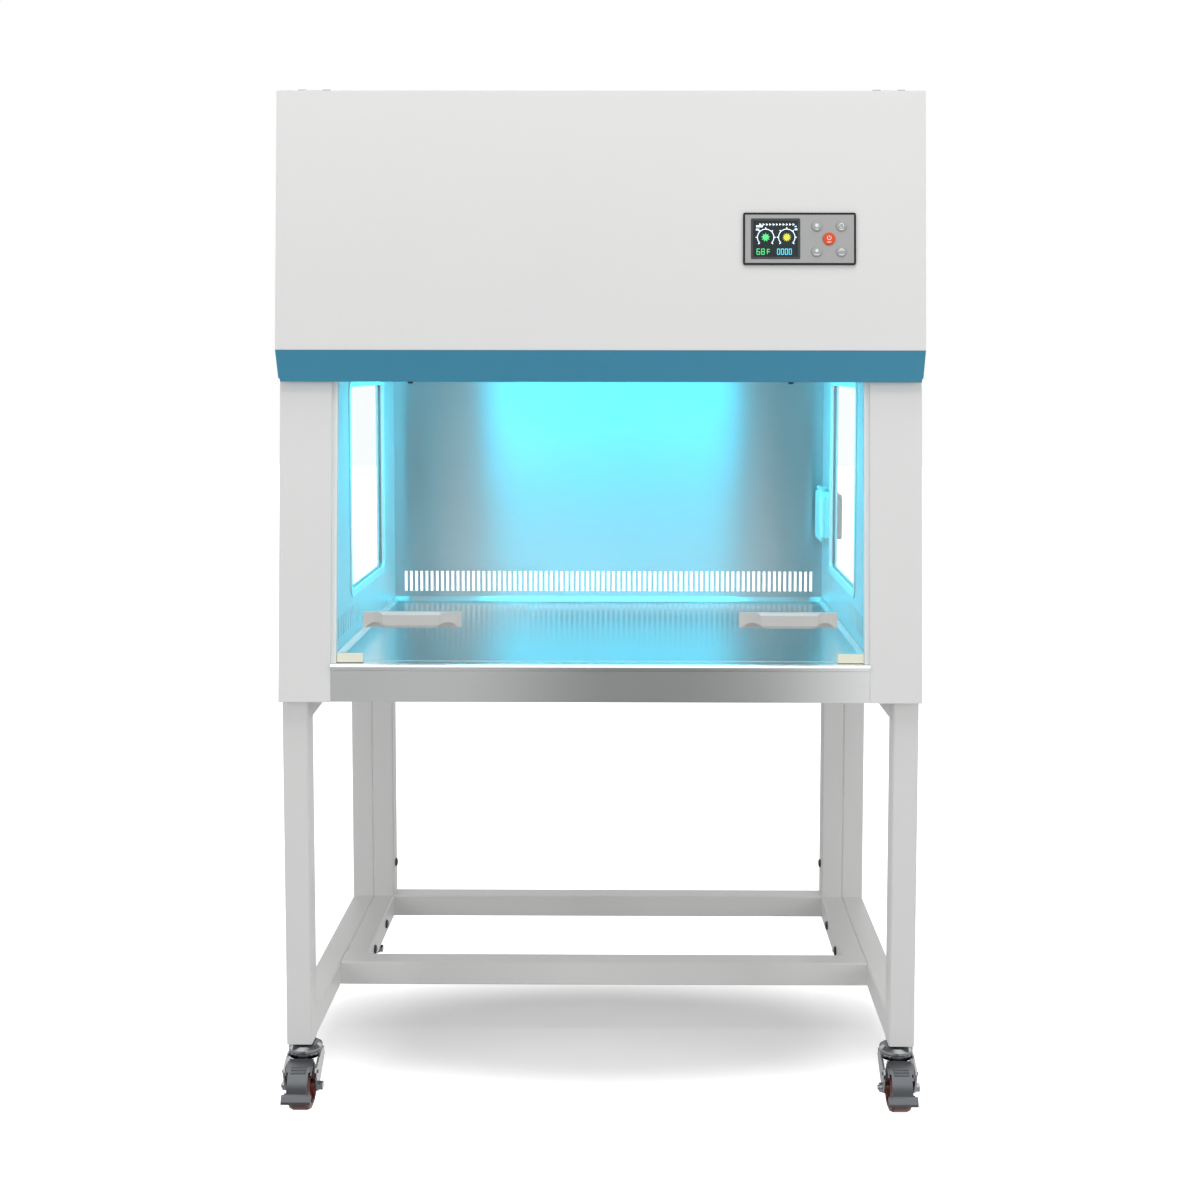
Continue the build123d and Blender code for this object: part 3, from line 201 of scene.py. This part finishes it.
finish = {
    "cream_paint": paintedMetal("powderCoatOffWhite", "e4e4e3", paintLook),
    "blue_paint": paintedMetal("powderCoatTeal", "3d90b0", {**paintLook, "rough": 0.38}),
    "stand_paint": paintedMetal("powderCoatStand", "dfdfde", {**paintLook, "edgeMm": 0.6}),
    "white_metal": paintedMetal("enamelWhite", "eef1f1", {**paintLook, "edgeMm": 0.4}),
    "stainless": brushedMetal("stainlessBrushedAlongX", "c9cdd0", {**steelLook, "rough": 0.35}),
    "sideSteel": brushedMetal("stainlessBrushedAlongY", "cfd4d6", sideLook),
    "apronSteel": brushedMetal("stainlessPolishedPan", "e6e8e8", panLook),
    "clear_glass": clearGlass("floatGlassClear", "fdffff", 0.5),
    "window_pane": clearGlass("floatGlassWindow", "ffffff", 0.015),
    "seal_rubber": plainPlastic("rubberPaleGrey", "d9dddd", {"rough": 0.6}),
    "white_plastic": plainPlastic("pvcWhite", "eef0f0", {"rough": 0.4}),
    "cream_plastic": plainPlastic("absGreyWhite", "c9c9c7", {"rough": 0.42, "edgeMm": 1.2}),
    "guardPlastic": plainPlastic("nylonCream", "efeedb", {"rough": 0.5, "edgeMm": 1.0}),
    "panel_plastic": plainPlastic("membraneSilverGrey", "a9aaa9", {"rough": 0.45, "metallic": 0.3, "edgeMm": 0.4}),
    "screen": plainPlastic("acrylicSmoked", "2b3436", {"rough": 0.12, "bump": 0.0, "edgeMm": 0.5}),
    "grey_key": plainPlastic("absKeyGrey", "a6aaa8", {"rough": 0.4, "edgeMm": 0.4}),
    "red_key": plainPlastic("absKeyOrangeRed", "e6532a", {"rough": 0.35, "edgeMm": 0.4}),
    "zinc_steel": plainPlastic("zincPlateBright", "8e9092", zincLook),
    "black_steel": plainPlastic("blackOxideSteel", "1c1c1d", {"rough": 0.4, "edgeMm": 0.5}),
    "wheel_nylon": plainPlastic("phenolicRedBrown", "5a1505", {"rough": 0.35, "edgeMm": 1.2}),
    "pedal_steel": plainPlastic("zincCastGrey", "5c5e61", pedalLook),
    "galvanised": plainPlastic("galvanisedSheet", "a5abad", {"rough": 0.45, "metallic": 0.9, "cloud": 0.3}),
    "impeller_metal": plainPlastic("aluminiumPlain", "c3c5c7", {"rough": 0.35, "metallic": 1.0}),
    "motor_metal": plainPlastic("enamelBlack", "232326", {"rough": 0.35}),
    "filter_metal": plainPlastic("aluminiumAnodised", "c4c6c8", {"rough": 0.35, "metallic": 1.0}),
    "filter_paper": plainPlastic("glassFibrePaper", "ecece4", {"rough": 0.9, "bump": 0.5}),
    "uv_lamp": plainPlastic("quartzLampLit", "9fe9ff", uvLook),
    "led_lamp": plainPlastic("frostedLampTube", "eef6f8", ledLook),
    "outlet_plastic": plainPlastic("polycarbonateLightGrey", "d5dcdc", {"rough": 0.3, "edgeMm": 1.2}),
    "black_plastic": plainPlastic("nylonBlack", "1a1a1b", {"rough": 0.5}),
}
override = {"side_wall_left": "sideSteel", "side_wall_right": "sideSteel", "sash_corner_guards": "guardPlastic",
            "work_surface": "apronSteel"}
slots = {row["node"]: row["material_slot"] for row in frame["record"]["subparts"]}
for name, node in nodes.items():
    material = finish[override.get(name, slots[name])]
    node.data.materials.clear()
    node.data.materials.append(material)
print("materials:", len(finish))


# control panel graphics lie in the leaning face's own plane: (u, v) in mm from its middle, w out of it
cover = {"lean": 5, "foot": 1200, "footY": -5}
panel = {"x": 305.8, "z": 1370.7, "keyTop": 4.8, "keysX": 45.3, "keyDx": 18.9, "keyDz": 19.6}
panelY = cover["footY"] + (panel["z"] - cover["foot"]) * math.tan(math.radians(cover["lean"]))
stackStep = 0.004  # overlapping strokes never share a plane


def panelPoint(u, v, w):  # mm on the panel face to metres in the frame
    s, c = math.sin(math.radians(cover["lean"])), math.cos(math.radians(cover["lean"]))
    x = panel["x"] + u
    y = panelY + v * s - w * c
    z = panel["z"] + v * c + w * s
    return Vector((x, y + depthShift, z)) * mm


def makeMesh(name, body, material, build):
    mesh = bpy.data.meshes.new(name)
    shape = bmesh.new()
    build(shape)
    bmesh.ops.recalc_face_normals(shape, faces=shape.faces)
    shape.to_mesh(mesh)
    shape.free()
    piece = bpy.data.objects.new(name, mesh)
    scene.collection.objects.link(piece)
    mesh.materials.append(material)
    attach(piece, body)


rowInputs = {"Columns": "NodeSocketInt", "Rows": "NodeSocketInt", "Width": "NodeSocketFloat",
             "Height": "NodeSocketFloat", "Radius": "NodeSocketFloat", "Depth": "NodeSocketFloat",
             "Sides": "NodeSocketInt"}


def rowTree(name, material):
    # one small mesh repeated along a line, a grid when the second count is above one
    tree = bpy.data.node_groups.new(name, "GeometryNodeTree")
    for socket, kind in rowInputs.items():
        tree.interface.new_socket(socket, in_out="INPUT", socket_type=kind)
    tree.interface.new_socket("Geometry", in_out="OUTPUT", socket_type="NodeSocketGeometry")
    entry = addNode(tree, "NodeGroupInput")
    grid = addNode(tree, "GeometryNodeMeshGrid", links={"Vertices X": (entry, "Columns"), "Vertices Y": (entry, "Rows"),
                                                        "Size X": (entry, "Width"), "Size Y": (entry, "Height")})
    head = addNode(tree, "GeometryNodeMeshCylinder",
                   links={"Vertices": (entry, "Sides"), "Radius": (entry, "Radius"), "Depth": (entry, "Depth")})
    spread = addNode(tree, "GeometryNodeInstanceOnPoints", links={"Points": (grid, "Mesh"), "Instance": (head, "Mesh")})
    solid = addNode(tree, "GeometryNodeRealizeInstances", links={"Geometry": (spread, 0)})
    painted = addNode(tree, "GeometryNodeSetMaterial", {"Material": material}, {"Geometry": (solid, 0)})
    addNode(tree, "NodeGroupOutput", links={"Geometry": (painted, 0)})
    return tree


def repeatPiece(name, body, material, row, place):
    # evaluates the node tree once, then keeps the plain mesh in its place; the row's sizes are in mm
    settings = {"Columns": row["count"], "Rows": 1, "Width": row["span"] * mm, "Height": 0.0,
                "Radius": row["radius"] * mm, "Depth": row["depth"] * mm, "Sides": row["sides"]}
    mesh = bpy.data.meshes.new(name + "Seed")
    seed = bpy.data.objects.new(name + "Seed", mesh)
    scene.collection.objects.link(seed)
    change = seed.modifiers.new("repeat", "NODES")
    change.node_group = rowTree(name + "Tree", material)
    for item in change.node_group.interface.items_tree:
        if item.in_out == "INPUT":
            change[item.identifier] = settings[item.name]
    bpy.context.view_layer.update()
    solid = bpy.data.meshes.new_from_object(seed.evaluated_get(bpy.context.evaluated_depsgraph_get()))
    seed.modifiers.clear()
    bpy.data.objects.remove(seed)
    solid.transform(place)
    solid.name = name
    piece = bpy.data.objects.new(name, solid)
    scene.collection.objects.link(piece)
    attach(piece, body)


def addPrism(shape, outline, place, low, high):
    # closed prism over a flat outline of (u, v), from depth low to high
    bottom = [shape.verts.new(place(u, v, low)) for u, v in outline]
    top = [shape.verts.new(place(u, v, high)) for u, v in outline]
    shape.faces.new(top)
    shape.faces.new(list(reversed(bottom)))
    count = len(outline)
    for k in range(count):
        shape.faces.new((bottom[k], bottom[(k + 1) % count], top[(k + 1) % count], top[k]))


def disc(u, v, r, count=24):
    angles = [2 * math.pi * k / count for k in range(count)]
    return [(u + r * math.cos(a), v + r * math.sin(a)) for a in angles]


def arcBand(u, v, r, width, start, stop, count):
    angles = [math.radians(start + (stop - start) * k / count) for k in range(count + 1)]
    outer = [(u + (r + width / 2) * math.cos(a), v + (r + width / 2) * math.sin(a)) for a in angles]
    inner = [(u + (r - width / 2) * math.cos(a), v + (r - width / 2) * math.sin(a)) for a in angles]
    return outer + inner[::-1]


def bar(u0, v0, u1, v1, width):
    length = math.hypot(u1 - u0, v1 - v0)
    nx, ny = -(v1 - v0) / length * width / 2, (u1 - u0) / length * width / 2
    return [(u0 + nx, v0 + ny), (u0 - nx, v0 - ny), (u1 - nx, v1 - ny), (u1 + nx, v1 + ny)]


def star(u, v, rOut, rIn, tips):
    points = [(rIn if k % 2 else rOut, math.pi * k / tips + math.pi / 2) for k in range(2 * tips)]
    return [(u + r * math.cos(a), v + r * math.sin(a)) for r, a in points]


digitSegments = {"0": "abcdef", "6": "acdefg", "8": "abcdefg", "F": "aefg"}


def digit(sign, u, v, w, h, t):
    # seven bars: a top, b and c right, d bottom, e and f left, g middle
    left, right, foot, middle, top = u, u + w, v, v + h / 2, v + h
    spots = {"a": (left, top, right, top), "b": (right, middle, right, top), "c": (right, foot, right, middle),
             "d": (left, foot, right, foot), "e": (left, foot, left, middle), "f": (left, middle, left, top),
             "g": (left, middle, right, middle)}
    return [bar(*spots[s], t) for s in digitSegments[sign]]


glowLook = {"rough": 0.4, "bump": 0.0, "edgeMm": 0.05}
lit = {
    "white": plainPlastic("displayLitWhite", "dff3ff", {**glowLook, "glow": "dff3ff", "glowStrength": 0.8}),
    "green": plainPlastic("displayLitGreen", "5fe38a", {**glowLook, "glow": "3fd070", "glowStrength": 0.4}),
    "yellow": plainPlastic("displayLitYellow", "d9dc5a", {**glowLook, "glow": "c9c830", "glowStrength": 0.35}),
    "cyan": plainPlastic("displayLitCyan", "5fd2ee", {**glowLook, "glow": "5fd2ee", "glowStrength": 0.6}),
    "ink": plainPlastic("legendInkWhite", "f2f4f2", glowLook),
    "bezel": plainPlastic("gasketRubberBlack", "08090a", {"rough": 0.5, "edgeMm": 0.3}),
    "frame": plainPlastic("absFrameDarkGrey", "3c3e3f", {"rough": 0.45, "edgeMm": 0.3}),
}
screen = {"low": 2.55, "high": 2.75}
gauges = {"centres": ((-52.0, 2.2), (-19.6, 2.4)), "radius": 12.6, "width": 1.1, "sweep": (-42, 222), "steps": 32,
          "marks": (-42, 0, 45, 90, 135, 180, 222), "markIn": 0.4, "markOut": 2.6, "markWidth": 1.6}
# white bars: from (u, v) to (u, v), width
screenBars = ((-66.5, 19.2, -56.5, 19.2, 3.0), (-67.0, 14.2, -62.0, 14.2, 2.6), (-7.5, 19.0, -4.5, 19.0, 1.6),
              (-7.5, 14.5, -3.5, 14.5, 2.6))
# a star in a gauge: which gauge, tip radius, root radius, tips
screenStars = {"green": (0, 6.9, 4.2, 9), "yellow": (1, 6.9, 4.4, 12)}
# digits: sign, left, foot, width, height, stroke
screenDigits = {
    "green": (("6", -65.5, -24.0, 4.4, 8.4, 1.2), ("8", -58.4, -24.0, 4.4, 8.4, 1.2),
              ("F", -49.5, -23.5, 4.0, 7.2, 1.2)),
    "cyan": tuple(("0", -34.0 + k * 6.0, -24.0, 3.6, 8.4, 1.1) for k in range(4))}


def drawGauge(u, v):
    r = gauges["radius"]
    shapes = [arcBand(u, v, r, gauges["width"], *gauges["sweep"], gauges["steps"])]
    inner, outer = r - gauges["markIn"], r + gauges["markOut"]
    for degrees in gauges["marks"]:
        c, s = math.cos(math.radians(degrees)), math.sin(math.radians(degrees))
        shapes.append(bar(u + inner * c, v + inner * s, u + outer * c, v + outer * s, gauges["markWidth"]))
    return shapes


def drawScreen(colourName):
    shapes = []
    if colourName == "white":
        shapes += [bar(*row) for row in screenBars]
        for u, v in gauges["centres"]:
            shapes += drawGauge(u, v)
    if colourName in screenStars:
        gauge, tipRadius, rootRadius, tips = screenStars[colourName]
        shapes.append(star(*gauges["centres"][gauge], tipRadius, rootRadius, tips))
    for row in screenDigits.get(colourName, ()):
        shapes += digit(*row)
    return shapes


for colourName in ("white", "green", "yellow", "cyan"):
    def build(shape, colourName=colourName):
        for k, outline in enumerate(drawScreen(colourName)):
            addPrism(shape, outline, panelPoint, screen["low"], screen["high"] + stackStep * k)
    makeMesh("screenGraphics_" + colourName, "cover", lit[colourName], build)


# black gasket round the plate, dark grey frame round the display window
rings = {
    "panelGasket": {"centre": (0, 0), "size": (173.3, 80.6), "round": 3.3, "wide": 3.2, "low": 0.02, "high": 3.15,
                    "tone": "bezel"},
    "screenFrame": {"centre": (-36.8, 0), "size": (75.8, 62.8), "round": 2.3, "wide": 3.7, "low": 2.4, "high": 3.2,
                    "tone": "frame"}}
smallestRound = 0.6


def roundedOutline(u, v, w, h, r, count=6):
    out = []
    right, top = w / 2 - r, h / 2 - r
    for cx, cy, start in ((right, top, 0), (-right, top, 90), (-right, -top, 180), (right, -top, 270)):
        for k in range(count + 1):
            a = math.radians(start + 90 * k / count)
            out.append((u + cx + r * math.cos(a), v + cy + r * math.sin(a)))
    return out


def addRing(shape, outer, inner, place, low, high):
    loops = ((outer, low), (outer, high), (inner, high), (inner, low))
    rows = [[shape.verts.new(place(u, v, w)) for u, v in line] for line, w in loops]
    count = len(outer)
    for a in range(4):
        b = (a + 1) % 4
        for k in range(count):
            n = (k + 1) % count
            shape.faces.new((rows[a][k], rows[a][n], rows[b][n], rows[b][k]))


def buildRing(shape, ring):
    (u, v), (w, h), t = ring["centre"], ring["size"], ring["wide"]
    outer = roundedOutline(u, v, w, h, ring["round"])
    inner = roundedOutline(u, v, w - 2 * t, h - 2 * t, max(ring["round"] - t, smallestRound))
    addRing(shape, outer, inner, panelPoint, ring["low"], ring["high"])


for ringName, ring in rings.items():
    makeMesh(ringName, "cover", lit[ring["tone"]], lambda shape, ring=ring: buildRing(shape, ring))

# row of triangles along the top of the display
panelFrame = Matrix.Rotation(math.radians(90 - cover["lean"]), 4, "X")
ticks = {"count": 11, "span": 51.0, "radius": 2.2, "depth": 0.3, "sides": 3, "spot": (-35.0, 22.0, 2.6)}
repeatPiece("screenTicks", "cover", lit["white"], ticks,
            Matrix.Translation(panelPoint(*ticks["spot"])) @ panelFrame)

keyFaces = {
    "fan_key": (-1, 1, "fan"), "light_key": (1, 1, "lamp"), "uv_key": (-1, -1, "tube"), "socket_key": (1, -1, "socket"),
    "power_key": (0, 0, "power")}
# strokes from the key's centre: bar to (u, v) and width, star, disc and arc with their own sizes
legends = {
    "fan": (("star", 0, 1, 4.4, 2.0, 7), ("bar", -2.4, -5.2, 2.4, -5.2, 1.0)),
    "lamp": (("arc", 0, 1.2, 2.8, 1.0, -50, 230, 18), ("bar", -1.6, -3.0, 1.6, -3.0, 0.9),
             ("bar", -3.4, -5.4, 3.4, -5.4, 1.0)),
    "tube": (("disc", 0, 1.4, 2.5), ("bar", -4.4, -4.8, 4.4, -4.8, 1.0)),
    "socket": (("rays", 0, 0.4, 1.8, 4.6, 1.2, 20, 60, 90, 120, 160), ("bar", -3.6, -5.0, 3.6, -5.0, 1.0)),
    "power": (("arc", 0, 1.4, 3.0, 1.0, 130, 410, 20), ("bar", 0, 2.2, 0, 5.4, 1.0),
              ("bar", -3.2, -5.2, 3.2, -5.2, 1.2))}
legend = {"sunk": 0.1, "proud": 0.08}


def keyShapes(kind, keyU, keyV):
    shapes = []
    for stroke, du, dv, *sizes in legends[kind]:
        u, v = keyU + du, keyV + dv
        if stroke == "bar":
            endU, endV, width = sizes
            shapes.append(bar(u, v, keyU + endU, keyV + endV, width))
        elif stroke == "rays":
            inner, outer, width, *degrees = sizes
            for a in map(math.radians, degrees):
                c, s = math.cos(a), math.sin(a)
                shapes.append(bar(u + inner * c, v + inner * s, u + outer * c, v + outer * s, width))
        else:
            shapes.append({"star": star, "disc": disc, "arc": arcBand}[stroke](u, v, *sizes))
    return shapes


for body, (sx, sz, kind) in keyFaces.items():
    def build(shape, sx=sx, sz=sz, kind=kind):
        for k, outline in enumerate(keyShapes(kind, panel["keysX"] + sx * panel["keyDx"], sz * panel["keyDz"])):
            addPrism(shape, outline, panelPoint, panel["keyTop"] - legend["sunk"],
                     panel["keyTop"] + legend["proud"] + stackStep * k)
    makeMesh("legend_" + body, body, lit["ink"], build)
print("panel graphics done")

# pop rivets along the top and foot of the back sheet
rivets = {"count": 9, "span": 940.0, "radius": 3.0, "depth": 1.6, "sides": 16, "rows": (1180.0, 1588.0),
          "backY": 640.0, "proud": 0.9}
for number, height in enumerate(rivets["rows"]):
    spot = Vector((0, rivets["backY"] + depthShift - rivets["depth"] / 2 + rivets["proud"], height)) * mm
    repeatPiece("backRivets_" + str(number), "cabinet", finish["cream_paint"], rivets,
                Matrix.Translation(spot) @ Matrix.Rotation(math.pi / 2, 4, "X"))
print("rivets done")

# floor seen by the camera: a diffuse catch that takes the real shadows, plus a glow raised from near to far outside an
# ellipse round the part (m); the low glow inside the ellipse is a painted shadow under the bench
floorLook = {"size": 30.0, "catch": 0.8, "bounce": 0.75, "near": 0.2, "far": 1.15, "nearM": 0.16, "farM": 0.45,
             "middle": (0.0, -0.02, 0.0), "stretch": (0.5, 1.3, 1.0)}
# brightness that metal mirrors, by how far the direction points to the left (-) or right (+)
studio = ((-0.5, 0.9), (-0.2, 0.52), (-0.15, 0.6), (-0.11, 0.8), (-0.05, 0.24), (0.03, 0.2), (0.1, 0.3), (0.15, 1.25),
          (0.5, 1.0))
studioReach = 0.5  # how far aside the ramp goes
ceiling = {"level": 2.3, "from": 0.2, "to": 0.5}
roomLevel = 0.42  # what lights the part


def addGlow(tree, kind, strength):
    return addNode(tree, kind, {"Color": white}, {"Strength": (strength, 0)})


def studioLevel(tree, vector, output, sign):
    # brightness that metal mirrors, from the left-right share of a direction
    axes = addNode(tree, "ShaderNodeSeparateXYZ", links={0: (vector, output)})
    aside = addNode(tree, "ShaderNodeMapRange", {"From Min": -sign * studioReach, "From Max": sign * studioReach},
                    {"Value": (axes, "X")})
    walls = addNode(tree, "ShaderNodeValToRGB", links={0: (aside, 0)})
    while len(walls.color_ramp.elements) < len(studio):
        walls.color_ramp.elements.new(0.5)
    for element, (x, level) in zip(walls.color_ramp.elements, studio):
        element.position = (x + studioReach) / (2 * studioReach)
        element.color = (level, level, level, 1)
    return axes, walls


def mixByRay(tree, path, lighting, mirrored, shown):
    # metal mirrors the studio, the camera and clear pieces see the pale background, all else gets the lighting
    plain = addNode(tree, "ShaderNodeMixShader", links={0: (path, "Is Glossy Ray"), 1: (lighting, 0), 2: (mirrored, 0)})
    seen = addNode(tree, "ShaderNodeMath", {"operation": "MAXIMUM"},
                   {0: (path, "Is Camera Ray"), 1: (path, "Is Transmission Ray")})
    return addNode(tree, "ShaderNodeMixShader", links={0: (seen, 0), 1: (plain, 0), 2: (shown, 0)})


def buildFloor():
    bpy.ops.mesh.primitive_plane_add(size=floorLook["size"], location=(0, 0, 0))
    floor = bpy.context.object
    floor.name = "floorSheet"
    material, tree = newMaterial("paperFloor")
    catch = addNode(tree, "ShaderNodeBsdfDiffuse", {"Color": (floorLook["catch"],) * 3 + (1,)})
    place = addNode(tree, "ShaderNodeTexCoord")
    shift = addNode(tree, "ShaderNodeVectorMath", {"operation": "SUBTRACT", 1: floorLook["middle"]},
                    {0: (place, "Object")})
    scaled = addNode(tree, "ShaderNodeVectorMath", {"operation": "MULTIPLY", 1: floorLook["stretch"]}, {0: (shift, 0)})
    away = addNode(tree, "ShaderNodeVectorMath", {"operation": "LENGTH"}, {0: (scaled, 0)})
    # painted shadow: the floor's glow is dim inside an ellipse under the part and rises to white outside it
    paintedShadowLift = addNode(tree, "ShaderNodeMapRange",
                   {"interpolation_type": "SMOOTHSTEP", "From Min": floorLook["nearM"], "From Max": floorLook["farM"],
                    "To Min": floorLook["near"], "To Max": floorLook["far"]}, {"Value": (away, "Value")})
    fill = addGlow(tree, "ShaderNodeEmission", paintedShadowLift)
    both = addNode(tree, "ShaderNodeAddShader", links={0: (catch, 0), 1: (fill, 0)})
    bounce = addNode(tree, "ShaderNodeBsdfDiffuse", {"Color": (floorLook["bounce"],) * 3 + (1,)})
    view = addNode(tree, "ShaderNodeNewGeometry")
    _, walls = studioLevel(tree, view, "Incoming", -1)
    mirrored = addGlow(tree, "ShaderNodeEmission", walls)
    path = addNode(tree, "ShaderNodeLightPath")
    finishMaterial(tree, mixByRay(tree, path, bounce, mirrored, both))
    floor.data.materials.append(material)


def buildWorld():
    world = bpy.data.worlds.new("paleRoom")
    scene.world = world
    world.use_nodes = True
    tree = world.node_tree
    tree.nodes.clear()
    path = addNode(tree, "ShaderNodeLightPath")
    room = addNode(tree, "ShaderNodeBackground", {"Color": white, "Strength": roomLevel})
    # what metal mirrors: a studio that is darker behind the camera, bright at both sides and overhead
    place = addNode(tree, "ShaderNodeTexCoord")
    axes, walls = studioLevel(tree, place, "Generated", 1)
    above = addNode(tree, "ShaderNodeMapRange",
                    {"From Min": ceiling["from"], "From Max": ceiling["to"], "To Max": ceiling["level"]},
                    {"Value": (axes, "Z")})
    level = addNode(tree, "ShaderNodeMath", {"operation": "MAXIMUM"}, {0: (walls, 0), 1: (above, 0)})
    mirrored = addGlow(tree, "ShaderNodeBackground", level)
    backdrop = addNode(tree, "ShaderNodeBackground", {"Color": white, "Strength": 1.0})
    mix = mixByRay(tree, path, room, mirrored, backdrop)
    addNode(tree, "ShaderNodeOutputWorld", links={"Surface": (mix, 0)})


lamps = [
    # name, place (m), aim (m), size (m), power (W), colour, seen in reflections
    ("softboxTop", (0.1, -1.3, 3.9), (0, 0, 0.9), (2.2, 1.6), 50, "ffffff", False),
    ("softboxLeft", (-2.9, -2.5, 1.4), (0, 0, 0.8), (1.4, 2.0), 27, "ffffff", False),
    ("softboxRight", (3.0, -2.3, 1.4), (0, 0, 0.8), (1.4, 2.0), 29, "ffffff", False),
    ("chamberGlow", (0, -0.155, 1.156), (0, 0.25, 0.75), (0.56, 0.05), 2.5, "22dcff", True),
    ("chamberSideLeft", (-0.1, 0.05, 1.1), (-0.42, 0.05, 0.9), (0.3, 0.1), 1.8, "28e4ff", False),
    ("chamberSideRight", (0.1, 0.05, 1.1), (0.42, 0.05, 0.9), (0.3, 0.1), 1.8, "28e4ff", False),
]


def buildLamps():
    for name, place, aim, size, power, tint, glossy in lamps:
        data = bpy.data.lights.new(name, "AREA")
        data.shape = "RECTANGLE"
        data.size, data.size_y = size
        data.energy = power
        data.color = toLinear(tint)[:3]
        lamp = bpy.data.objects.new(name, data)
        scene.collection.objects.link(lamp)
        lamp.location = place
        lamp.rotation_euler = (Vector(aim) - Vector(place)).to_track_quat("-Z", "Y").to_euler()
        lamp.visible_camera = False
        lamp.visible_glossy = glossy


lens = {"focalPx": 1522.9, "framePx": 1200, "centreX": 631.4, "centreY": 467.9, "down": 0.0678, "turn": 0.0051,
        "roll": 0.0014, "place": (60.2, -2350.0, 1178.1), "sensorMm": 36, "clipM": 100}


def buildCamera():
    data = bpy.data.cameras.new("viewCamera")
    data.sensor_width = lens["sensorMm"]
    data.lens = lens["sensorMm"] * lens["focalPx"] / lens["framePx"]
    data.shift_x = (lens["framePx"] / 2 - lens["centreX"]) / lens["framePx"]
    data.shift_y = (lens["centreY"] - lens["framePx"] / 2) / lens["framePx"]
    data.clip_end = lens["clipM"]
    camera = bpy.data.objects.new("viewCamera", data)
    scene.collection.objects.link(camera)
    x, y, z = lens["place"]
    spin = (Matrix.Rotation(lens["turn"], 4, "Z") @ Matrix.Rotation(math.pi / 2 - lens["down"], 4, "X")
            @ Matrix.Rotation(lens["roll"], 4, "Z"))
    camera.matrix_world = Matrix.Translation(Vector((x, y + depthShift, z)) * mm) @ spin
    scene.camera = camera


buildFloor()
buildWorld()
buildLamps()
buildCamera()
print("stage done")
